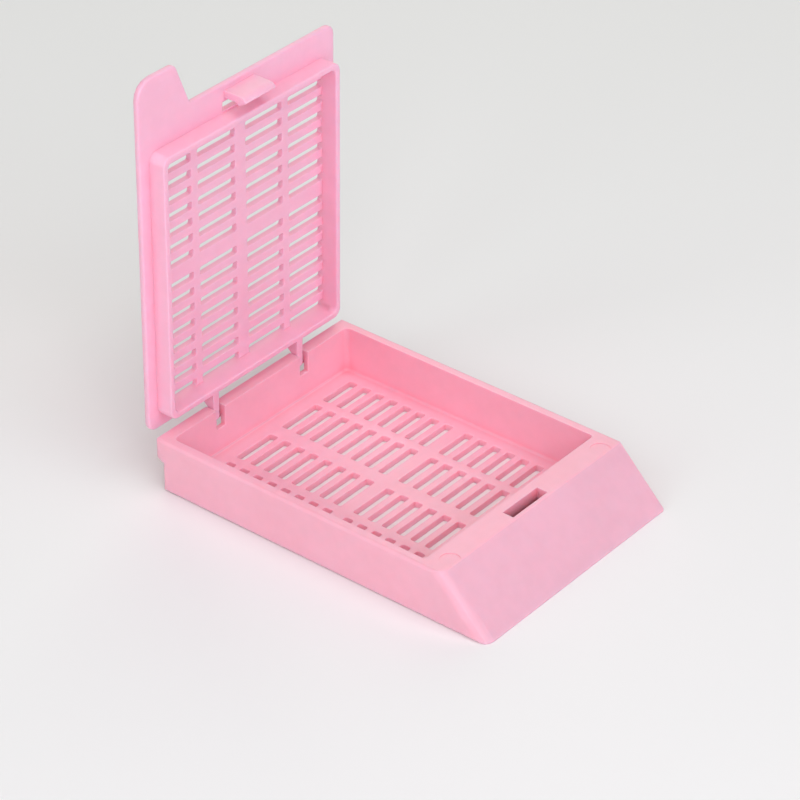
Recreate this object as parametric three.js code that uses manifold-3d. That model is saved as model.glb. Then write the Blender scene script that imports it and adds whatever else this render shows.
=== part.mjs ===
// A tissue cassette: a slotted tray with a sloped writing end, and a slotted lid hinged on its other end.
// Millimetres, +Z up, +X from the hinge end to the writing end, origin at the middle of the tray's underside.
import * as THREE from "three";
import { mergeVertices } from "three/addons/utils/BufferGeometryUtils.js";
import Module from "manifold-3d";

const wasm = await Module();
wasm.setup();

// ---- tray: outside ----
const TRAY_LENGTH = 41.0;
const TRAY_WIDTH = 28.7;
const TRAY_HEIGHT = 5.8;
const TOP_ROUND = 0.36; // along the outer top edges of the sides
const SLOPE_TOP_ROUND = 0.45; // where the shelf turns down into the writing slope
const SLOPE_NEAR_ROUND = 1.15; // along the slope's side edge on the pull tab's side
const SLOPE_FAR_ROUND = 0.45; // along its other side edge
const BOTTOM_ROUND = 0.4;
const CORNER_ROUND = 0.4; // upright outer corners
const TOE_NEAR_ROUND = 1.2; // upright corner of the slope's foot on the pull tab's side
const SLOPE_RUN = 5.55; // length of the writing slope, seen from above
const TOE_HEIGHT = 0.3; // upright edge under the slope's foot

// ---- tray: hinge end ----
const LIP_OVERHANG = 0.85; // the band along the top of the hinge wall stands this far out
const LIP_BAND = 2.0; // its height
const LIP_UNDERCUT = 0.45; // height of its slanted underside
const LIP_ROUND = 0.2;
const HINGE_WALL = 0.6; // wall under the lip

// ---- tray: well and floor ----
const SIDE_WALL = 1.09;
const FLOOR = 0.74;
const WELL_HINGE_ROUND = 0.6; // upright inner corners at the hinge wall
const WELL_SHELF_ROUND = 0.4; // and under the shelf
const FLOOR_FILLET = 0.3;

// ---- tray: shelf and hollow writing block ----
const SHELF_DEPTH = 2.65;
const SHELF_THICKNESS = 1.3;
const WELL_END_WALL = 0.8;
const SLOPE_WALL = 0.9;
const MARK_RADIUS = 1.05; // round ejector marks on the shelf
const MARK_DEPTH = 0.06;
const MARK_INSET = 2.5; // from the tray's side to a mark's middle
const MARK_SETBACK = 1.9; // from the shelf's inner edge to a mark's middle

// ---- slots in the tray's floor ----
const TRAY_SLOT_WIDTH = 1.03;
const TRAY_SLOT_PITCH = 1.78;
const TRAY_INNER_SLOT = 5.35; // length of the slots beside the middle rib
const TRAY_MIDDLE_RIB = 1.65;
const TRAY_SIDE_RIB = 1.03; // between the inner and the outer column
const TRAY_CROSS_RIB = 1.54; // between the two groups of rows
const TRAY_START_MARGIN = 1.79; // floor between the hinge wall and the first row
const TRAY_END_MARGIN = 0.95; // least floor between the last row and the shelf's wall
const TRAY_SIDE_MARGIN = 1.5; // floor between the outer slots and the side walls

// ---- slots in the lid's plate ----
const LID_SLOT_WIDTH = 0.88;
const LID_SLOT_PITCH = 1.76;
const LID_INNER_SLOT = 5.45;
const LID_MIDDLE_RIB = 1.52;
const LID_SIDE_RIB = 0.88;
const LID_CROSS_RIB = 1.66;
const LID_END_MARGIN = 1.25; // least plate between the last row and the rim's free end
const SLOT_ROUND = 0.2; // in both slot fields

// ---- lid: plate, rim and tab ----
const LID_GAP = 0.1; // between the shut lid and the tray's top
const LID_THICKNESS = 0.64;
const LID_SETBACK = 1.95; // from the lip's face to the shut plate's hinge edge
const LID_INSET = 0.17; // of the plate's sides from the tray's sides
const LID_OVERHANG = 0.25; // of the shut plate's free edge past the shelf
const LID_ROUND = 0.22;
const LID_CORNER_ROUND = 1.1;
const RIM_HEIGHT = 1.85;
const RIM_WALL = 0.65;
const RIM_EDGE_ROUND = 0.15;
const RIM_CORNER_ROUND = 1.0;
const RIM_SIDE_CLEARANCE = 0.36; // to the well's side walls
const RIM_END_CLEARANCE = 0.12; // to the well's end wall
const RIM_SETBACK = 1.99; // from the hinge wall's inner face
const TAB_LENGTH = 4.8;
const TAB_TOP_WIDTH = 5.3;
const TAB_ROOT_WIDTH = 7.25;
const TAB_OUTER_ROUND = 1.9;
const TAB_INNER_ROUND = 0.9;
const TAB_ROOT_FILLET = 0.6;

// ---- latch ----
const LATCH_WIDTH = 4.4;
const LATCH_LENGTH = 2.8; // from the plate to the tongue's tip
const LATCH_STEM = 0.75;
const LATCH_BARB = 0.3;
const LATCH_CLEARANCE = 0.1; // of the tongue in its slot, along the tray
const LATCH_SIDE_CLEARANCE = 0.5;
const LATCH_SETBACK = 1.05; // from the shelf's inner edge to the slot
const LATCH_NOSE_LENGTH = 0.45; // the tongue's front face slants back over this last stretch
const LATCH_NOSE_SETBACK = 0.5;
const LATCH_NOSE_ROUND = 1.0;
const LATCH_TIP_ROUND = 0.15;
const WINDOW_SETBACK = 0.2; // hole in the plate beside the barb, from the rim's end face
const WINDOW_LENGTH = 0.95;
const WINDOW_WIDTH = 4.9;

// ---- hinge ----
const OPEN_ANGLE = 90; // degrees from shut, as the lid stands
const AXIS_INSET = 0.57; // from the lip's outer face
const AXIS_DROP = 1.33; // below the tray's top
const LEG_SPACING = 12.8; // between the two legs' middles
const LEG_WIDTH = 0.8;
const KNUCKLE_RADIUS = 0.42;
const LEG_GUSSET = 0.96; // run of the slanted web between leg and plate
const NOTCH_NEAR_CLEARANCE = 0.12; // beside a leg, on the pull tab's side
const NOTCH_FAR_CLEARANCE = 0.35;
const NOTCH_DEPTH = 2.3;
const PIN_RADIUS = 0.2;
const PIN_SEAT = 0.4; // length of a pin inside its socket
const SOCKET_CLEARANCE = 0.08;
const RELIEF_DROP = 1.53; // slanted relief in the lip's underside: its top below the tray's top
const RELIEF_RUN = 0.65;
const RELIEF_REACH = 0.75; // how far it runs on past the notch

const ARC_STEPS = 2; // an arc gets twice as many straight pieces
const SLOT_ARC_STEPS = 1;
const ROUND_SIDES = 24;
const SPILL = 1; // how far a cutter runs past what it cuts

const AXES = {
  x: new THREE.Vector3(1, 0, 0),
  y: new THREE.Vector3(0, 1, 0),
  z: new THREE.Vector3(0, 0, 1),
};

// ---- places along the tray, from the lip's outer face ----
const wellStart = LIP_OVERHANG + HINGE_WALL;
const slopeStart = TRAY_LENGTH - SLOPE_RUN;
const wellEnd = slopeStart - SHELF_DEPTH;
const wellHalf = TRAY_WIDTH / 2 - SIDE_WALL;
const slopeAngle = Math.atan2(TRAY_HEIGHT - TOE_HEIGHT, SLOPE_RUN);
const latchSlotStart = wellEnd + LATCH_SETBACK;
const latchSlotEnd = latchSlotStart + LATCH_STEM + LATCH_BARB + 2 * LATCH_CLEARANCE;
const axisHeight = TRAY_HEIGHT - AXIS_DROP;
const lipLow = TRAY_HEIGHT - LIP_BAND;
const notchWidth = LEG_WIDTH + NOTCH_NEAR_CLEARANCE + NOTCH_FAR_CLEARANCE;
const notchShift = (NOTCH_FAR_CLEARANCE - NOTCH_NEAR_CLEARANCE) / 2;

// ---- the two slot fields ----
const trayField = {
  width: TRAY_SLOT_WIDTH,
  pitch: TRAY_SLOT_PITCH,
  innerSlot: TRAY_INNER_SLOT,
  middleRib: TRAY_MIDDLE_RIB,
  sideRib: TRAY_SIDE_RIB,
  crossRib: TRAY_CROSS_RIB,
};
const lidField = {
  width: LID_SLOT_WIDTH,
  pitch: LID_SLOT_PITCH,
  innerSlot: LID_INNER_SLOT,
  middleRib: LID_MIDDLE_RIB,
  sideRib: LID_SIDE_RIB,
  crossRib: LID_CROSS_RIB,
};

// ---- places on the lid, from the hinge axis, with the lid lying shut ----
const plateLow = AXIS_DROP + LID_GAP;
const plateStart = LID_SETBACK - AXIS_INSET;
const plateEnd = slopeStart + LID_OVERHANG - AXIS_INSET;
const plateHalf = TRAY_WIDTH / 2 - LID_INSET;
const rimStart = wellStart + RIM_SETBACK - AXIS_INSET;
const rimEnd = wellEnd - RIM_END_CLEARANCE - AXIS_INSET;
const rimHalf = wellHalf - RIM_SIDE_CLEARANCE;

// A closed geometry as a manifold-3d solid.
function solid(geometry) {
  const bare = geometry.clone();
  bare.deleteAttribute("normal");
  bare.deleteAttribute("uv");
  const merged = mergeVertices(bare);
  return new wasm.Manifold(
    new wasm.Mesh({
      numProp: 3,
      vertProperties: merged.attributes.position.array,
      triVerts: new Uint32Array(merged.index.array),
    }),
  );
}

// A solid as a mesh with its own material.
function meshOf(name, made, look) {
  const { vertProperties, triVerts } = made.getMesh();
  const indexed = new THREE.BufferGeometry();
  indexed.setAttribute("position", new THREE.BufferAttribute(vertProperties, 3));
  indexed.setIndex(new THREE.BufferAttribute(triVerts, 1));
  const geometry = indexed.toNonIndexed();
  geometry.computeVertexNormals();
  const mesh = new THREE.Mesh(geometry, new THREE.MeshStandardMaterial(look));
  mesh.name = name;
  return mesh;
}

// A closed outline through corners [x, y, radius], each rounded by an arc where it has a radius.
function outline(corners) {
  const shape = new THREE.Shape();
  corners.forEach(([x, y, radius = 0], i) => {
    const corner = new THREE.Vector2(x, y);
    const back = corners.at(i - 1);
    const next = corners[(i + 1) % corners.length];
    const toBack = new THREE.Vector2(back[0], back[1]).sub(corner).normalize();
    const toNext = new THREE.Vector2(next[0], next[1]).sub(corner).normalize();
    if (radius === 0) {
      if (i === 0) shape.moveTo(x, y);
      else shape.lineTo(x, y);
      return;
    }
    const half = Math.acos(toBack.dot(toNext)) / 2;
    const reach = radius / Math.tan(half);
    const inward = toBack.clone().add(toNext).normalize();
    const centre = corner.clone().addScaledVector(inward, radius / Math.sin(half));
    const start = corner.clone().addScaledVector(toBack, reach).sub(centre);
    const end = corner.clone().addScaledVector(toNext, reach).sub(centre);
    const clockwise = toBack.cross(toNext) > 0;
    shape.absarc(centre.x, centre.y, radius, start.angle(), end.angle(), clockwise);
  });
  shape.closePath();
  return shape;
}

// A rectangle from (x0, y0) to (x1, y1) with rounded corners.
function rectangle(x0, y0, x1, y1, radius = 0) {
  return outline([
    [x0, y0, radius],
    [x1, y0, radius],
    [x1, y1, radius],
    [x0, y1, radius],
  ]);
}

// A shape drawn in x and y, run up from z0 to z1; both rims are rounded by the given radius.
function alongZ(shape, z0, z1, round = 0, arcSteps = ARC_STEPS) {
  const geometry = new THREE.ExtrudeGeometry(shape, {
    depth: z1 - z0 - 2 * round,
    curveSegments: arcSteps,
    bevelEnabled: round > 0,
    bevelThickness: round,
    bevelSize: round,
    bevelOffset: -round,
    bevelSegments: 3,
  });
  geometry.translate(0, 0, z0 + round);
  return solid(geometry);
}

// A shape drawn in x and z, run along y across the given width, centred on y.
function alongY(shape, width, y = 0) {
  const geometry = new THREE.ExtrudeGeometry(shape, {
    depth: width,
    curveSegments: ARC_STEPS,
    bevelEnabled: false,
  });
  geometry.translate(0, 0, -width / 2);
  geometry.applyMatrix4(new THREE.Matrix4().makeBasis(AXES.x, AXES.z, AXES.y.clone().negate()));
  geometry.translate(0, y, 0);
  return solid(geometry);
}

// A shape drawn in y and z, run along x from x0 to x1, then tilted down about y by the angle and moved.
function alongX(shape, x0, x1, angle = 0, at = new THREE.Vector3()) {
  const geometry = new THREE.ExtrudeGeometry(shape, {
    depth: x1 - x0,
    curveSegments: ARC_STEPS,
    bevelEnabled: false,
  });
  geometry.translate(0, 0, x0);
  geometry.applyMatrix4(new THREE.Matrix4().makeBasis(AXES.y, AXES.z, AXES.x));
  geometry.rotateY(angle);
  geometry.translate(at.x, at.y, at.z);
  return solid(geometry);
}

function box(x0, x1, y0, y1, z0, z1) {
  const geometry = new THREE.BoxGeometry(x1 - x0, y1 - y0, z1 - z0);
  geometry.translate((x0 + x1) / 2, (y0 + y1) / 2, (z0 + z1) / 2);
  return solid(geometry);
}

// A round bar along y, centred at (x, y, z).
function roundBar(radius, length, x, y, z) {
  const geometry = new THREE.CylinderGeometry(radius, radius, length, ROUND_SIDES);
  geometry.translate(x, y, z);
  return solid(geometry);
}

const join = (solids) => solids.reduce((all, next) => all.add(next));

// [start, end] along x of each row of slots: two groups with a cross rib between, from the given start.
function slotRows(start, end, { width, pitch, crossRib }) {
  const bar = pitch - width;
  const count = Math.floor((end - start - crossRib + 2 * bar) / pitch);
  const firstGroup = Math.ceil(count / 2);
  return Array.from({ length: count }, (_, row) => {
    const x = start + row * pitch + (row < firstGroup ? 0 : crossRib - bar);
    return [x, x + width];
  });
}

// [start, end] across y of the four columns of slots that reach out to the given half width.
function slotColumns(half, { innerSlot, middleRib, sideRib }) {
  const innerStart = middleRib / 2;
  const innerEnd = innerStart + innerSlot;
  const right = [
    [innerStart, innerEnd],
    [innerEnd + sideRib, half],
  ];
  const left = right.map(([start, end]) => [-end, -start]);
  return [...left, ...right];
}

function slots(rows, columns, z0, z1) {
  const slot = ([x0, x1], [y0, y1]) => {
    const shape = rectangle(x0, y0, x1, y1, SLOT_ROUND);
    return alongZ(shape, z0, z1, 0, SLOT_ARC_STEPS);
  };
  return join(rows.flatMap((row) => columns.map((column) => slot(row, column))));
}

// ---- tray ----

// Length profile: foot, slope, top, the lip at the hinge end and the wall set back under it.
function trayProfile() {
  return outline([
    [LIP_OVERHANG, 0, BOTTOM_ROUND],
    [TRAY_LENGTH, 0],
    [TRAY_LENGTH, TOE_HEIGHT],
    [slopeStart, TRAY_HEIGHT, SLOPE_TOP_ROUND],
    [0, TRAY_HEIGHT, LIP_ROUND],
    [0, lipLow, LIP_ROUND],
    [LIP_OVERHANG, lipLow - LIP_UNDERCUT, LIP_ROUND],
  ]);
}

// Cross-section: upright sides, rounded along the bottom and along the two top edges.
function traySection(low, high, lowRound, nearRound, farRound) {
  const half = TRAY_WIDTH / 2;
  return outline([
    [-half, low, lowRound],
    [half, low, lowRound],
    [half, high, farRound],
    [-half, high, nearRound],
  ]);
}

// Outline seen from above.
function trayPlan() {
  const half = TRAY_WIDTH / 2;
  return outline([
    [0, -half, CORNER_ROUND],
    [TRAY_LENGTH, -half, TOE_NEAR_ROUND],
    [TRAY_LENGTH, half, CORNER_ROUND],
    [0, half, CORNER_ROUND],
  ]);
}

// Takes the two upright corners off the wall under the lip.
function underLipCorners() {
  const half = TRAY_WIDTH / 2;
  const top = lipLow - LIP_UNDERCUT;
  const reach = LIP_OVERHANG + CORNER_ROUND;
  const wall = rectangle(LIP_OVERHANG, -half, TRAY_LENGTH, half, CORNER_ROUND);
  const end = box(0, reach, -half - SPILL, half + SPILL, -SPILL, top);
  return end.subtract(alongZ(wall, -2 * SPILL, TRAY_HEIGHT));
}

function trayBlock() {
  const slopeTop = new THREE.Vector3(slopeStart, 0, TRAY_HEIGHT);
  const deep = -2 * TRAY_LENGTH;
  const section = traySection(0, TRAY_HEIGHT, BOTTOM_ROUND, TOP_ROUND, TOP_ROUND);
  const slopeSection = traySection(deep, 0, 0, SLOPE_NEAR_ROUND, SLOPE_FAR_ROUND);
  return alongY(trayProfile(), TRAY_WIDTH)
    .intersect(alongZ(trayPlan(), -SPILL, TRAY_HEIGHT + SPILL))
    .intersect(alongX(section, -SPILL, TRAY_LENGTH + SPILL))
    .intersect(alongX(slopeSection, deep, TRAY_LENGTH, slopeAngle, slopeTop))
    .subtract(underLipCorners());
}

function well() {
  const plan = outline([
    [wellStart, -wellHalf, WELL_HINGE_ROUND],
    [wellEnd, -wellHalf, WELL_SHELF_ROUND],
    [wellEnd, wellHalf, WELL_SHELF_ROUND],
    [wellStart, wellHalf, WELL_HINGE_ROUND],
  ]);
  return alongZ(plan, FLOOR, TRAY_HEIGHT + SPILL, FLOOR_FILLET);
}

// The space under the shelf and the slope, open below.
function writingHollow() {
  const ceiling = TRAY_HEIGHT - SHELF_THICKNESS;
  const start = wellEnd + WELL_END_WALL;
  const setback = SLOPE_WALL / Math.sin(slopeAngle);
  const perHeight = 1 / Math.tan(slopeAngle);
  const slopeInner = (z) => slopeStart + (TRAY_HEIGHT - z) * perHeight - setback;
  const hollow = outline([
    [start, -SPILL],
    [slopeInner(-SPILL), -SPILL],
    [slopeInner(ceiling), ceiling],
    [start, ceiling],
  ]);
  return alongY(hollow, 2 * wellHalf);
}

function floorSlots() {
  const rows = slotRows(wellStart + TRAY_START_MARGIN, wellEnd - TRAY_END_MARGIN, trayField);
  const columns = slotColumns(wellHalf - TRAY_SIDE_MARGIN, trayField);
  return slots(rows, columns, -SPILL, FLOOR + SPILL);
}

function latchSlot() {
  const half = LATCH_WIDTH / 2 + LATCH_SIDE_CLEARANCE;
  const low = TRAY_HEIGHT - 2 * SHELF_THICKNESS;
  return box(latchSlotStart, latchSlotEnd, -half, half, low, TRAY_HEIGHT + SPILL);
}

function ejectorMark(side) {
  const geometry = new THREE.CylinderGeometry(MARK_RADIUS, MARK_RADIUS, 2 * MARK_DEPTH, ROUND_SIDES);
  geometry.rotateX(Math.PI / 2);
  geometry.translate(wellEnd + MARK_SETBACK, side * (TRAY_WIDTH / 2 - MARK_INSET), TRAY_HEIGHT);
  return solid(geometry);
}

// A notch for one leg, with the two round sockets for its pins and the relief under them.
function hingeSeat(side) {
  const y = (side * LEG_SPACING) / 2 + notchShift;
  const low = y - notchWidth / 2;
  const high = y + notchWidth / 2;
  const notch = box(-SPILL, wellStart + SPILL, low, high, TRAY_HEIGHT - NOTCH_DEPTH, TRAY_HEIGHT + SPILL);
  const socketLength = notchWidth + 2 * (PIN_SEAT + SOCKET_CLEARANCE);
  const reliefTop = TRAY_HEIGHT - RELIEF_DROP;
  const relief = outline([
    [LIP_OVERHANG, lipLow - LIP_UNDERCUT - SPILL],
    [LIP_OVERHANG, reliefTop],
    [LIP_OVERHANG - RELIEF_RUN, reliefTop - RELIEF_RUN],
    [LIP_OVERHANG - RELIEF_RUN, lipLow - LIP_UNDERCUT - SPILL],
  ]);
  return join([
    notch,
    roundBar(PIN_RADIUS + SOCKET_CLEARANCE, socketLength, AXIS_INSET, y, axisHeight),
    alongY(relief, notchWidth + RELIEF_REACH, y + RELIEF_REACH / 2),
  ]);
}

function traySolid() {
  const cuts = [
    well(),
    writingHollow(),
    floorSlots(),
    latchSlot(),
    ejectorMark(-1),
    ejectorMark(1),
    hingeSeat(-1),
    hingeSeat(1),
  ];
  return cuts.reduce((body, cut) => body.subtract(cut), trayBlock());
}

// ---- lid, lying shut, with the hinge axis as its origin ----

// Plate with the pull tab at one corner of its free edge.
function plate() {
  const tabEnd = plateEnd + TAB_LENGTH;
  const shape = outline([
    [plateStart, -plateHalf, LID_CORNER_ROUND],
    [tabEnd, -plateHalf, TAB_OUTER_ROUND],
    [tabEnd, -plateHalf + TAB_TOP_WIDTH, TAB_INNER_ROUND],
    [plateEnd, -plateHalf + TAB_ROOT_WIDTH, TAB_ROOT_FILLET],
    [plateEnd, plateHalf, LID_CORNER_ROUND],
    [plateStart, plateHalf, LID_CORNER_ROUND],
  ]);
  return alongZ(shape, plateLow, plateLow + LID_THICKNESS, LID_ROUND);
}

// Raised rim that drops inside the well's walls.
function rim() {
  const low = plateLow - RIM_HEIGHT;
  const high = plateLow + LID_THICKNESS / 2;
  const outer = rectangle(rimStart, -rimHalf, rimEnd, rimHalf, RIM_CORNER_ROUND);
  outer.holes.push(
    rectangle(
      rimStart + RIM_WALL,
      RIM_WALL - rimHalf,
      rimEnd - RIM_WALL,
      rimHalf - RIM_WALL,
      RIM_CORNER_ROUND - RIM_WALL / 2,
    ),
  );
  return alongZ(outer, low, high, RIM_EDGE_ROUND);
}

function lidSlots() {
  const start = rimStart + RIM_WALL;
  const rows = slotRows(start, rimEnd - RIM_WALL - LID_END_MARGIN, lidField);
  const columns = slotColumns(rimHalf - RIM_WALL, lidField);
  return slots(rows, columns, plateLow - SPILL, plateLow + LID_THICKNESS + SPILL);
}

// Tongue that drops through the shelf; its barb points back to the hinge.
function latchTongue() {
  const front = latchSlotEnd - LATCH_CLEARANCE - AXIS_INSET;
  const stem = front - LATCH_STEM;
  const barb = stem - LATCH_BARB;
  const tip = plateLow - LATCH_LENGTH;
  const catchTop = plateLow - LID_GAP - SHELF_THICKNESS - LATCH_CLEARANCE;
  const shape = outline([
    [stem, plateLow + LID_THICKNESS / 2],
    [stem, catchTop],
    [barb, catchTop - LATCH_BARB],
    [front - LATCH_NOSE_SETBACK, tip, LATCH_TIP_ROUND],
    [front, tip + LATCH_NOSE_LENGTH, LATCH_NOSE_ROUND],
    [front, plateLow + LID_THICKNESS / 2],
  ]);
  return alongY(shape, LATCH_WIDTH);
}

function latchWindow() {
  const start = rimEnd + WINDOW_SETBACK;
  const half = WINDOW_WIDTH / 2;
  return box(start, start + WINDOW_LENGTH, -half, half, plateLow - SPILL, plateLow + LID_THICKNESS + SPILL);
}

// Leg from the rim to the hinge axis, with a round foot and a pin on each side.
function hingeLeg(side) {
  const y = (side * LEG_SPACING) / 2;
  const inRim = rimStart + RIM_WALL / 2;
  const inPlate = plateLow + LID_THICKNESS / 2;
  const shape = outline([
    [0, -KNUCKLE_RADIUS],
    [inRim, -KNUCKLE_RADIUS],
    [inRim, inPlate],
    [rimStart - RIM_WALL, inPlate],
    [rimStart - RIM_WALL, plateLow],
    [rimStart - RIM_WALL - LEG_GUSSET, KNUCKLE_RADIUS],
    [0, KNUCKLE_RADIUS],
  ]);
  const pinLength = notchWidth + 2 * PIN_SEAT;
  return join([
    alongY(shape, LEG_WIDTH, y),
    roundBar(KNUCKLE_RADIUS, LEG_WIDTH, 0, y, 0),
    roundBar(PIN_RADIUS, pinLength, 0, y + notchShift, 0),
  ]);
}

function lidSolid() {
  return join([plate(), rim()])
    .subtract(lidSlots())
    .subtract(latchWindow())
    .add(latchTongue())
    .add(hingeLeg(-1))
    .add(hingeLeg(1));
}

// ---- assembly ----

const tray = meshOf("tray", traySolid(), { color: 0xf6b4c8, roughness: 0.45, metalness: 0 });

const lid = meshOf("lid", lidSolid(), { color: 0xf5b6cd, roughness: 0.42, metalness: 0 });
const hinge = new THREE.Group();
hinge.position.set(AXIS_INSET, 0, axisHeight);
hinge.rotation.y = THREE.MathUtils.degToRad(-OPEN_ANGLE);
hinge.add(lid);

const group = new THREE.Group();
group.add(tray, hinge);
tray.position.x = -TRAY_LENGTH / 2;
hinge.position.x -= TRAY_LENGTH / 2;

export default group;
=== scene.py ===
"""Finishes a hinged tissue cassette: softened mouldings, satin acetal plastic and a plain studio.

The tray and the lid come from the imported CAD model. Each is copied, its triangles are merged into whole
faces and its sharp edges are rounded as a mould rounds them. Lengths are in metres, +Z is up, and +X runs
from the hinge end to the writing slope.
"""

import math

import bpy
from mathutils import Euler, Matrix, Vector


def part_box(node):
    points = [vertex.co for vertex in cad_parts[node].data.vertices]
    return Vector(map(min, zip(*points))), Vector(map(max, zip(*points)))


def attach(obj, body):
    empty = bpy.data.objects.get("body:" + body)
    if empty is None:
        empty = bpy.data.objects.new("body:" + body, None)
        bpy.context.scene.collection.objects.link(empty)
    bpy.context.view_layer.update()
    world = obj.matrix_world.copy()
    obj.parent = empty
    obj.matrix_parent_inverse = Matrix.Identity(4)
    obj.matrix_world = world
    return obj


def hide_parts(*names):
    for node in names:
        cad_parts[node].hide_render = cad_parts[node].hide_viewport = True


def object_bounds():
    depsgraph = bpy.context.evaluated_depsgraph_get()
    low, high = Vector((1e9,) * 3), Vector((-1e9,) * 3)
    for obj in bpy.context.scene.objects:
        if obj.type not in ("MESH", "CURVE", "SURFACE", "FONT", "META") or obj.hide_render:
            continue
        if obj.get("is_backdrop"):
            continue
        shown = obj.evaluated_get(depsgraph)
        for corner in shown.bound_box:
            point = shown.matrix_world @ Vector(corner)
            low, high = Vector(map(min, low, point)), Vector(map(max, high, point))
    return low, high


bl_info = {
    "name": "Tissue Cassette",
    "version": (1, 0, 0),
    "blender": (4, 5, 0),
    "location": "3D View > Sidebar > Cassette",
    "description": "Finishes the mouldings of a tissue cassette and sets them in a plain studio",
    "category": "Object",
}

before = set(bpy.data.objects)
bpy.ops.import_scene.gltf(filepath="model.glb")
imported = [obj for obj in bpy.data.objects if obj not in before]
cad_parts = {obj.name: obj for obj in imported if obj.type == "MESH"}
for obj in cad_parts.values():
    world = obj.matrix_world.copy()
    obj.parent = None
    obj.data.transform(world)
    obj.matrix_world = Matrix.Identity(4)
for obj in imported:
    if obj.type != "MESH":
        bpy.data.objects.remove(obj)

MM = 0.001

# Joining the model's loose triangles into whole faces.
WELD_DISTANCE = 0.002 * MM
FLAT_ANGLE = math.radians(0.5)

# Flats that are filled afresh: least area, how squarely one faces along an axis, decimals of its level in
# metres, and how near to that level its corners lie.
LARGE_FLAT = 30 * MM**2
SQUARE_FACING = 0.9999
LEVEL_DIGITS = 5
FLAT_TOLERANCE = 0.007 * MM

# Where the two ejector marks lie, measured inwards from the corners of the tray's box.
MARK_FROM_FOOT = (5.3 * MM, 8.0 * MM)
MARK_FROM_SIDE = (1.3 * MM, 3.6 * MM)
MARK_BELOW_TOP = 0.2 * MM

# Acetal: soft blotches of slightly darker and lighter pink.
CLOUD_SIZE = 9 * MM
MOTTLE_SIZE = 1.4 * MM
CLOUD_SHARE = 0.6
MOTTLE_SHARE = 0.4
BLOTCH_RANGE = (0.3, 0.7)
DARK_BLOTCH = 0.965
LIGHT_BLOTCH = 1.03

# Acetal: painted shade, a deeper and redder pink in slots and hollows by how open the place is.
HOLLOW_SHADE_REACH = 1.6 * MM
HOLLOW_SHADE_SAMPLES = 12
OPENNESS_RANGE = (0.1, 0.9)

# Acetal: fine relief, and what the spark texture of the writing slope adds to it.
ORANGE_PEEL_SIZE = 0.55 * MM
SPARK_SIZE = 0.09 * MM
ORANGE_PEEL_HEIGHT = 0.35
SPARK_HEIGHT = 0.12
GRAIN_HEIGHT = 0.9
RELIEF_STRENGTH = 0.35
RELIEF_DEPTH = 0.01 * MM
GRAIN_ROUGHNESS = 0.14
MOTTLE_ROUGHNESS = 0.08
# Which way the writing slope faces: its spark texture and its painted shade go there.
GRAIN_AND_SHADE_FACING = (0.45, 0.7)

# Acetal: how strongly it bends light, and how far red, green and blue travel in it, as shares of the spread.
ACETAL_IOR = 1.48
COLOUR_SPREAD = (1.0, 0.4, 0.45)

# Floor paper.
FLOOR_SIZE = 4.0
PAPER_BLOTCH_SIZE = 0.2
DARK_PAPER = 0.985
LIGHT_PAPER = 1.015
PAPER_ROUGHNESS = 0.9

# Camera: width of its film in millimetres.
FILM_WIDTH = 36

# Soft square lamps: name, place, power in watts, colour.
LAMP_SIZE = 0.3
LAMPS = (
    ("Slope lamp", (0.42, 0.0, 0.18), 0.64, (0.84, 0.89, 1.0)),
    ("Near lamp", (-0.06, -0.38, 0.24), 0.52, (0.95, 1.0, 1.0)),
    ("Back lamp", (-0.234, 0.294, 0.248), 0.42, (0.96, 1.0, 0.86)),
    ("Top lamp", (0.08, 0.0, 0.44), 0.6, (1.0, 0.97, 0.9)),
    ("Front lamp", (0.3, -0.3, 0.3), 0.9, (1.0, 0.92, 0.95)),
)


# ---- settings ----


class CassetteMoulding(bpy.types.PropertyGroup):
    """How the two mouldings are finished."""

    edge_round: bpy.props.FloatProperty(
        name="Edge round",
        description="Width of the rounding along the sharp edges",
        default=0.04 * MM,
        min=0.0,
        subtype="DISTANCE",
        unit="LENGTH",
    )
    sharp_angle: bpy.props.FloatProperty(
        name="Sharp angle",
        description="Edges that turn by more than this are rounded",
        default=math.radians(50),
        subtype="ANGLE",
        unit="ROTATION",
    )
    round_steps: bpy.props.IntProperty(
        name="Round steps", description="Faces across each rounding", default=2, min=1, max=4
    )


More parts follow.
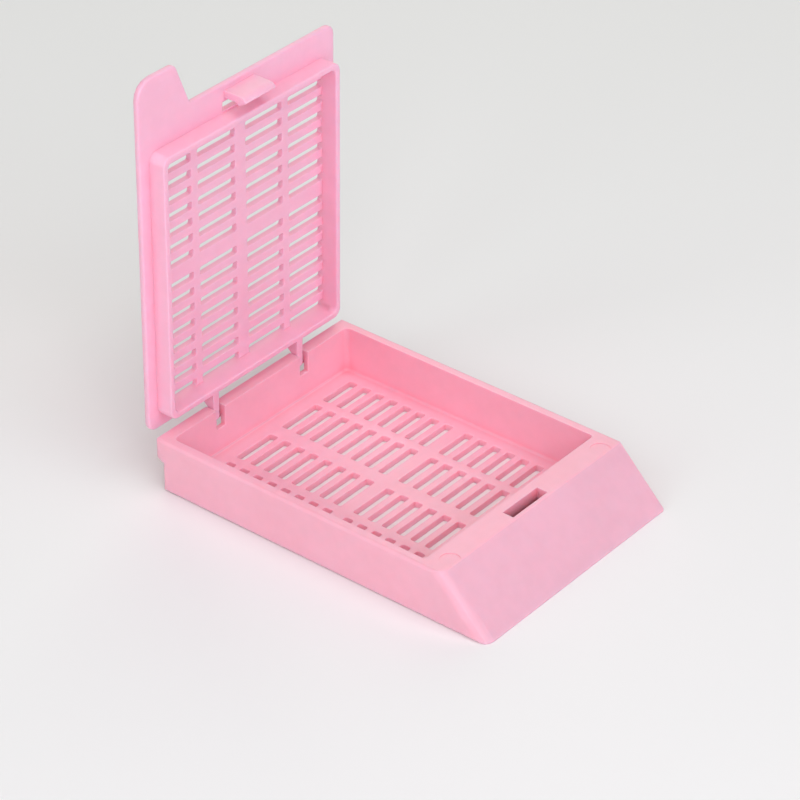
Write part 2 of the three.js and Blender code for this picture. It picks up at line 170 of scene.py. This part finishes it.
class CassettePlastic(bpy.types.PropertyGroup):
    """Colour and surface of the acetal."""

    tray_pink: bpy.props.FloatVectorProperty(
        name="Tray pink",
        description="Colour of the tray's plastic",
        default=(0.97, 0.483, 0.598),
        size=3,
        min=0.0,
        max=1.0,
        subtype="COLOR",
    )
    # Painted shade: the slope's darker, cooler pink stands in for how the light falls on that face.
    slope_shaded_pink: bpy.props.FloatVectorProperty(
        name="Slope shaded pink",
        description="Colour of the matt face that is written on",
        default=(0.835, 0.455, 0.568),
        size=3,
        min=0.0,
        max=1.0,
        subtype="COLOR",
    )
    # Painted shade: this deeper, redder pink stands in for the dim, reddened light in the tray's slots and
    # hollows.
    tray_hollow_shade: bpy.props.FloatVectorProperty(
        name="Tray hollow shade",
        description="Deeper colour that the tray's plastic takes in slots and narrow hollows",
        default=(1.0, 0.26, 0.36),
        size=3,
        min=0.0,
        max=1.0,
        subtype="COLOR",
    )
    # The lid's pink is its own pink with painted light: a cooler tint for the light that falls on the lid's
    # face.
    lid_pink: bpy.props.FloatVectorProperty(
        name="Lid pink",
        description="Colour of the lid's plastic",
        default=(0.94, 0.503, 0.655),
        size=3,
        min=0.0,
        max=1.0,
        subtype="COLOR",
    )
    # Painted shade: this deeper, redder pink stands in for the dim, reddened light in the lid's slots and
    # hollows.
    lid_hollow_shade: bpy.props.FloatVectorProperty(
        name="Lid hollow shade",
        description="Deeper colour that the lid's plastic takes in slots and narrow hollows",
        default=(1.0, 0.44, 0.58),
        size=3,
        min=0.0,
        max=1.0,
        subtype="COLOR",
    )
    roughness: bpy.props.FloatProperty(
        name="Roughness", description="Of the satin faces", default=0.42, min=0.0, max=1.0, subtype="FACTOR"
    )
    translucency: bpy.props.FloatProperty(
        name="Translucency",
        description="Share of the light that spreads inside the plastic",
        default=0.6,
        min=0.0,
        max=1.0,
        subtype="FACTOR",
    )
    spread: bpy.props.FloatProperty(
        name="Light spread",
        description="How far red light travels inside the plastic",
        default=0.9 * MM,
        min=0.0,
        subtype="DISTANCE",
        unit="LENGTH",
    )


class CassetteStudio(bpy.types.PropertyGroup):
    """Floor, light and camera."""

    floor_grey: bpy.props.FloatVectorProperty(
        name="Floor",
        description="Colour of the floor",
        default=(0.88, 0.88, 0.895),
        size=3,
        min=0.0,
        max=1.0,
        subtype="COLOR",
    )
    world_strength: bpy.props.FloatProperty(
        name="Room light", description="Strength of the even light from all round", default=0.22, min=0.0
    )
    lens: bpy.props.FloatProperty(
        name="Lens", description="Focal length of the camera in millimetres", default=156.92, min=1.0
    )
    distance: bpy.props.FloatProperty(
        name="Camera distance",
        description="From the camera to the point it looks at",
        default=0.336,
        subtype="DISTANCE",
        unit="LENGTH",
    )
    aim: bpy.props.FloatVectorProperty(
        name="Aim",
        description="The point the camera looks at",
        default=(-0.0007275, -0.0008266, 0.0117045),
        size=3,
        subtype="XYZ",
        unit="LENGTH",
    )
    azimuth: bpy.props.FloatProperty(
        name="Azimuth",
        description="How far the camera stands round from the near side",
        default=math.radians(38.485),
        subtype="ANGLE",
        unit="ROTATION",
    )
    elevation: bpy.props.FloatProperty(
        name="Elevation",
        description="How far the camera looks down",
        default=math.radians(33.373),
        subtype="ANGLE",
        unit="ROTATION",
    )
    roll: bpy.props.FloatProperty(
        name="Roll",
        description="Turn of the camera about its own line of sight",
        default=math.radians(0.579),
        subtype="ANGLE",
        unit="ROTATION",
    )


# ---- shader maths ----


class Link:
    """An output socket that + and * work on by adding Math nodes."""

    def __init__(self, finish, socket):
        self.finish = finish
        self.socket = socket

    def _math(self, operation, *values):
        return self.finish.node("ShaderNodeMath", {"operation": operation}, dict(enumerate(values)))

    def __add__(self, other):
        return self._math("ADD", self, other)

    __radd__ = __add__

    def __mul__(self, other):
        return self._math("MULTIPLY", self, other)

    __rmul__ = __mul__


class Finish:
    """A material that is being made, and the nodes in it."""

    def __init__(self, name):
        self.material = bpy.data.materials.new(name)
        self.material.use_nodes = True
        self.tree = self.material.node_tree
        self.tree.nodes.clear()

    def node(self, kind, settings=None, sockets=None, output=0):
        """Adds a node: its settings first, then the value or link of each named or numbered socket."""
        made = self.tree.nodes.new(kind)
        for name, value in (settings or {}).items():
            setattr(made, name, value)
        for name, value in (sockets or {}).items():
            if isinstance(value, Link):
                self.tree.links.new(value.socket, made.inputs[name])
            else:
                made.inputs[name].default_value = value
        return Link(self, made.outputs[output])

    def mix(self, factor, a, b):
        """Colour a where the factor is 0 and b where it is 1."""
        settings = {"data_type": "RGBA", "blend_type": "MIX"}
        return self.node("ShaderNodeMix", settings, {0: factor, 6: a, 7: b}, output=2)

    def noise(self, position, size, detail=2.0):
        """Soft blotches of about the given size, from 0 to 1."""
        sockets = {"Vector": position, "Scale": 1 / size, "Detail": detail, "Roughness": 0.5}
        return self.node("ShaderNodeTexNoise", {}, sockets)

    def step(self, value, low, high):
        """0 below low, 1 above high, and smooth between."""
        settings = {"interpolation_type": "SMOOTHSTEP"}
        return self.node("ShaderNodeMapRange", settings, {0: value, 1: low, 2: high})

    def end(self, shader):
        output = self.tree.nodes.new("ShaderNodeOutputMaterial")
        self.tree.links.new(shader.socket, output.inputs["Surface"])
        return self.material


def rgba(colour, factor=1.0):
    return (*(min(1.0, channel * factor) for channel in colour), 1.0)


# ---- finishes ----


def acetal(name, pink, grain_shaded_pink, hollow_shade_pink, plastic, grain):
    """Satin, slightly translucent plastic. The mask is 1 on the spark-finished face, which also gets painted
    shade.
    """
    finish = Finish(name)
    position = finish.node("ShaderNodeTexCoord", output="Object")
    cloud = finish.noise(position, CLOUD_SIZE)
    mottle = finish.noise(position, MOTTLE_SIZE, detail=3.0)
    shade = finish.step(cloud * CLOUD_SHARE + mottle * MOTTLE_SHARE, *BLOTCH_RANGE)
    # The mask marks the writing slope: its real spark texture, and its painted shade.
    grain_and_shade = grain(finish, position)
    smooth_pink = finish.mix(shade, rgba(pink, DARK_BLOTCH), rgba(pink, LIGHT_BLOTCH))
    # Painted shade: the slope's darker, cooler pink.
    matt_shaded_pink = finish.mix(shade, rgba(grain_shaded_pink, DARK_BLOTCH), rgba(grain_shaded_pink, LIGHT_BLOTCH))
    face_pink = finish.mix(grain_and_shade, smooth_pink, matt_shaded_pink)
    # Painted shade: slots and hollows take the deeper, redder pink by how closed in they are.
    settings = {"samples": HOLLOW_SHADE_SAMPLES, "only_local": True}
    openness = finish.node("ShaderNodeAmbientOcclusion", settings, {"Distance": HOLLOW_SHADE_REACH}, output="AO")
    colour = finish.mix(finish.step(openness, *OPENNESS_RANGE), rgba(hollow_shade_pink), face_pink)
    orange_peel = finish.noise(position, ORANGE_PEEL_SIZE)
    spark = finish.noise(position, SPARK_SIZE, detail=3.0)
    height = orange_peel * ORANGE_PEEL_HEIGHT + spark * (SPARK_HEIGHT + grain_and_shade * GRAIN_HEIGHT)
    relief = {"Strength": RELIEF_STRENGTH, "Distance": RELIEF_DEPTH, "Height": height}
    normal = finish.node("ShaderNodeBump", {}, relief)
    smooth_roughness = plastic.roughness - MOTTLE_ROUGHNESS / 2
    roughness = grain_and_shade * GRAIN_ROUGHNESS + mottle * MOTTLE_ROUGHNESS + smooth_roughness
    shader = finish.node(
        "ShaderNodeBsdfPrincipled",
        {"subsurface_method": "RANDOM_WALK"},
        {
            "Base Color": colour,
            "Roughness": roughness,
            "Normal": normal,
            "IOR": ACETAL_IOR,
            "Subsurface Weight": plastic.translucency,
            "Subsurface Radius": COLOUR_SPREAD,
            "Subsurface Scale": plastic.spread,
        },
    )
    return finish.end(shader)


# Marks the writing slope for its spark texture and for its painted shade.
def slope_grain_and_shade(finish, position):
    """1 on the writing slope, 0 elsewhere."""
    normal = finish.node("ShaderNodeNewGeometry", output="Normal")
    tilt = finish.node("ShaderNodeSeparateXYZ", {}, {0: normal})
    up = finish.node("ShaderNodeSeparateXYZ", {}, {0: normal}, output=2)
    return finish.step(tilt, *GRAIN_AND_SHADE_FACING) * finish.step(up, *GRAIN_AND_SHADE_FACING)


def no_grain(finish, position):
    """0 everywhere, as a link."""
    return finish.node("ShaderNodeSeparateXYZ", {}, {0: position}) * 0.0


def matt_floor(name, grey):
    """Plain seamless paper with a hint of unevenness."""
    finish = Finish(name)
    position = finish.node("ShaderNodeTexCoord", output="Object")
    shade = finish.noise(position, PAPER_BLOTCH_SIZE)
    colour = finish.mix(shade, rgba(grey, DARK_PAPER), rgba(grey, LIGHT_PAPER))
    sockets = {"Base Color": colour, "Roughness": PAPER_ROUGHNESS}
    return finish.end(finish.node("ShaderNodeBsdfPrincipled", {}, sockets))


# ---- making pieces ----


def deselect_all():
    bpy.ops.object.select_all(action="DESELECT")


def make_active(piece):
    deselect_all()
    piece.select_set(True)
    bpy.context.view_layer.objects.active = piece


def merged_copy(node, name):
    """A copy of a CAD node whose loose triangles are joined into whole faces."""
    piece = bpy.data.objects.new(name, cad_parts[node].data.copy())
    bpy.context.scene.collection.objects.link(piece)
    piece.data.materials.clear()
    make_active(piece)
    bpy.ops.object.mode_set(mode="EDIT")
    bpy.ops.mesh.select_all(action="SELECT")
    bpy.ops.mesh.remove_doubles(threshold=WELD_DISTANCE)
    bpy.ops.mesh.dissolve_limited(angle_limit=FLAT_ANGLE)
    bpy.ops.object.mode_set(mode="OBJECT")
    bpy.ops.mesh.customdata_custom_splitnormals_clear()
    return piece


def weight_sharp_edges(piece, angle, shallow):
    """Gives a bevel weight to each edge that turns by more than the angle, unless both ends are shallow."""
    make_active(piece)
    bpy.ops.object.mode_set(mode="EDIT")
    bpy.ops.mesh.select_mode(type="EDGE")
    bpy.ops.mesh.select_all(action="DESELECT")
    bpy.ops.mesh.edges_select_sharp(sharpness=angle)
    bpy.ops.object.mode_set(mode="OBJECT")
    for edge in piece.data.edges:
        ends = [piece.data.vertices[i].co for i in edge.vertices]
        if edge.select and all(shallow(end) for end in ends):
            edge.select = False
    bpy.ops.object.mode_set(mode="EDIT")
    bpy.ops.transform.edge_bevelweight(value=1.0)
    bpy.ops.object.mode_set(mode="OBJECT")


def in_plane(mesh, corners, axis, level):
    return all(abs(mesh.vertices[i].co[axis] - level) < FLAT_TOLERANCE for i in corners)


def large_flats(piece):
    """Axis, direction and level of each flat that faces along an axis and covers more than LARGE_FLAT."""
    areas = {}
    for face in piece.data.polygons:
        axis = max(range(3), key=lambda i: abs(face.normal[i]))
        if abs(face.normal[axis]) > SQUARE_FACING:
            key = (axis, math.copysign(1, face.normal[axis]), round(face.center[axis], LEVEL_DIGITS))
            areas[key] = areas.get(key, 0.0) + face.area
    return sorted(key for key, area in areas.items() if area > LARGE_FLAT)


def refill(piece, axis, direction, level):
    """Fills a flat afresh between its edges, because rounding them can fold the thin faces beside them."""
    mesh = piece.data
    bpy.ops.object.mode_set(mode="EDIT")
    bpy.ops.mesh.select_mode(type="FACE")
    bpy.ops.mesh.select_all(action="DESELECT")
    bpy.ops.object.mode_set(mode="OBJECT")
    for face in mesh.polygons:
        face.select = in_plane(mesh, face.vertices, axis, level)
    bpy.ops.object.mode_set(mode="EDIT")
    bpy.ops.mesh.delete(type="FACE")
    bpy.ops.mesh.select_mode(type="EDGE")
    bpy.ops.mesh.select_non_manifold(use_wire=False, use_multi_face=False, use_non_contiguous=False)
    bpy.ops.object.mode_set(mode="OBJECT")
    for edge in mesh.edges:
        edge.select = edge.select and in_plane(mesh, edge.vertices, axis, level)
    bpy.ops.object.mode_set(mode="EDIT")
    bpy.ops.mesh.fill(use_beauty=True)
    bpy.ops.object.mode_set(mode="OBJECT")
    filled = [face for face in mesh.polygons if face.select]
    if sum(face.normal[axis] * direction * face.area for face in filled) < 0:
        bpy.ops.object.mode_set(mode="EDIT")
        bpy.ops.mesh.flip_normals()
        bpy.ops.object.mode_set(mode="OBJECT")


def round_edges(piece, moulding):
    """Rounds the weighted edges and shades the piece so that its flat faces stay flat."""
    make_active(piece)
    bevel = piece.modifiers.new("Edge round", "BEVEL")
    bevel.limit_method = "WEIGHT"
    bevel.width = moulding.edge_round
    bevel.segments = moulding.round_steps
    bevel.use_clamp_overlap = False
    bevel.loop_slide = False
    bevel.miter_outer = "MITER_ARC"
    bpy.ops.object.modifier_apply(modifier=bevel.name)
    bpy.ops.object.mode_set(mode="EDIT")
    bpy.ops.mesh.select_all(action="SELECT")
    bpy.ops.mesh.quads_convert_to_tris(quad_method="BEAUTY", ngon_method="BEAUTY")
    bpy.ops.object.mode_set(mode="OBJECT")
    for flat in large_flats(piece):
        refill(piece, *flat)
    bpy.ops.object.shade_smooth_by_angle(angle=moulding.sharp_angle)
    even = piece.modifiers.new("Even shading", "WEIGHTED_NORMAL")
    even.keep_sharp = True
    bpy.ops.object.modifier_apply(modifier=even.name)


def finish_piece(piece, node, body, material):
    piece.data.materials.append(material)
    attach(piece, body)
    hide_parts(node)
    deselect_all()


# ---- operators ----


class CASSETTE_OT_tray(bpy.types.Operator):
    """Make the finished tray over its CAD node"""

    bl_idname = "cassette.tray"
    bl_label = "Tray"

    def execute(self, context):
        moulding = context.scene.cassette_moulding
        plastic = context.scene.cassette_plastic
        _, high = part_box("tray")
        piece = merged_copy("tray", "tray_moulding")
        weight_sharp_edges(piece, moulding.sharp_angle, lambda point: on_shelf_mark(point, high))
        round_edges(piece, moulding)
        # Painted shade: the slope's darker pink, and the deeper, redder pink of the tray's hollows.
        pinks = (plastic.tray_pink, plastic.slope_shaded_pink, plastic.tray_hollow_shade)
        material = acetal("Tray acetal", *pinks, plastic, slope_grain_and_shade)
        finish_piece(piece, "tray", "tray", material)
        return {"FINISHED"}


def on_shelf_mark(point, high):
    """Whether a corner point belongs to one of the two shallow ejector marks on the shelf."""
    along = MARK_FROM_FOOT[0] < high.x - point.x < MARK_FROM_FOOT[1]
    across = MARK_FROM_SIDE[0] < high.y - abs(point.y) < MARK_FROM_SIDE[1]
    return along and across and high.z - point.z < MARK_BELOW_TOP


class CASSETTE_OT_lid(bpy.types.Operator):
    """Make the finished lid over its CAD node"""

    bl_idname = "cassette.lid"
    bl_label = "Lid"

    def execute(self, context):
        moulding = context.scene.cassette_moulding
        plastic = context.scene.cassette_plastic
        piece = merged_copy("lid", "lid_moulding")
        weight_sharp_edges(piece, moulding.sharp_angle, lambda point: False)
        round_edges(piece, moulding)
        # The lid's pink carries a painted cooler tint, and the recess pink is painted shade in its hollows.
        pinks = (plastic.lid_pink, plastic.lid_pink, plastic.lid_hollow_shade)
        material = acetal("Lid acetal", *pinks, plastic, no_grain)
        finish_piece(piece, "lid", "lid", material)
        return {"FINISHED"}


class CASSETTE_OT_studio(bpy.types.Operator):
    """Set the floor, the lights and the camera"""

    bl_idname = "cassette.studio"
    bl_label = "Studio"

    def execute(self, context):
        studio = context.scene.cassette_studio
        lay_floor(studio)
        light_room(studio)
        for name, place, watts, colour in LAMPS:
            hang_lamp(name, Vector(place), watts, colour)
        place_camera(studio)
        context.scene.view_settings.view_transform = "Standard"
        return {"FINISHED"}


def lay_floor(studio):
    deselect_all()
    low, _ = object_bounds()
    bpy.ops.mesh.primitive_plane_add(size=FLOOR_SIZE, location=(0, 0, low.z))
    floor = bpy.context.object
    floor.name = "Floor"
    bpy.ops.object.transform_apply(location=True)
    floor.data.materials.append(matt_floor("Floor paper", studio.floor_grey))
    floor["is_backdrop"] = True


def light_room(studio):
    world = bpy.data.worlds.new("Room")
    world.use_nodes = True
    background = world.node_tree.nodes["Background"]
    background.inputs["Color"].default_value = (1, 1, 1, 1)
    background.inputs["Strength"].default_value = studio.world_strength
    bpy.context.scene.world = world


def hang_lamp(name, place, watts, colour):
    """A soft square lamp that faces the middle of the tray's underside."""
    deselect_all()
    bpy.ops.object.light_add(type="AREA", location=place)
    lamp = bpy.context.object
    lamp.name = name
    lamp.data.shape = "SQUARE"
    lamp.data.size = LAMP_SIZE
    lamp.data.energy = watts
    lamp.data.color = colour
    lamp.rotation_euler = (-place).to_track_quat("-Z", "Y").to_euler()


def place_camera(studio):
    """Looks at the aim point from the given side, height and distance."""
    deselect_all()
    turn = Euler((math.pi / 2 - studio.elevation, 0, studio.azimuth)).to_matrix()
    turn = turn @ Matrix.Rotation(studio.roll, 3, "Z")
    place = Vector(studio.aim) + turn.col[2] * studio.distance
    bpy.ops.object.camera_add(location=place, rotation=turn.to_euler())
    camera = bpy.context.object
    camera.data.lens = studio.lens
    camera.data.sensor_width = FILM_WIDTH
    bpy.context.scene.camera = camera


# ---- panel and registration ----


class CASSETTE_PT_panel(bpy.types.Panel):
    """The cassette's pieces and settings"""

    bl_label = "Tissue Cassette"
    bl_space_type = "VIEW_3D"
    bl_region_type = "UI"
    bl_category = "Cassette"

    def draw(self, context):
        for group in (
            context.scene.cassette_moulding,
            context.scene.cassette_plastic,
            context.scene.cassette_studio,
        ):
            for name in group.__annotations__:
                self.layout.prop(group, name)
        for operator in PIECE_OPERATORS:
            self.layout.operator(operator.bl_idname)


PROPERTY_GROUPS = {
    "cassette_moulding": CassetteMoulding,
    "cassette_plastic": CassettePlastic,
    "cassette_studio": CassetteStudio,
}
PIECE_OPERATORS = (CASSETTE_OT_tray, CASSETTE_OT_lid, CASSETTE_OT_studio)


def register():
    for made in (*PROPERTY_GROUPS.values(), *PIECE_OPERATORS, CASSETTE_PT_panel):
        bpy.utils.register_class(made)
    for name, group in PROPERTY_GROUPS.items():
        setattr(bpy.types.Scene, name, bpy.props.PointerProperty(type=group))


def unregister():
    for name in PROPERTY_GROUPS:
        delattr(bpy.types.Scene, name)
    for made in reversed((*PROPERTY_GROUPS.values(), *PIECE_OPERATORS, CASSETTE_PT_panel)):
        bpy.utils.unregister_class(made)


def main():
    register()
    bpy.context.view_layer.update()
    bpy.ops.cassette.tray()
    bpy.ops.cassette.lid()
    bpy.ops.cassette.studio()


if __name__ == "__main__":
    main()
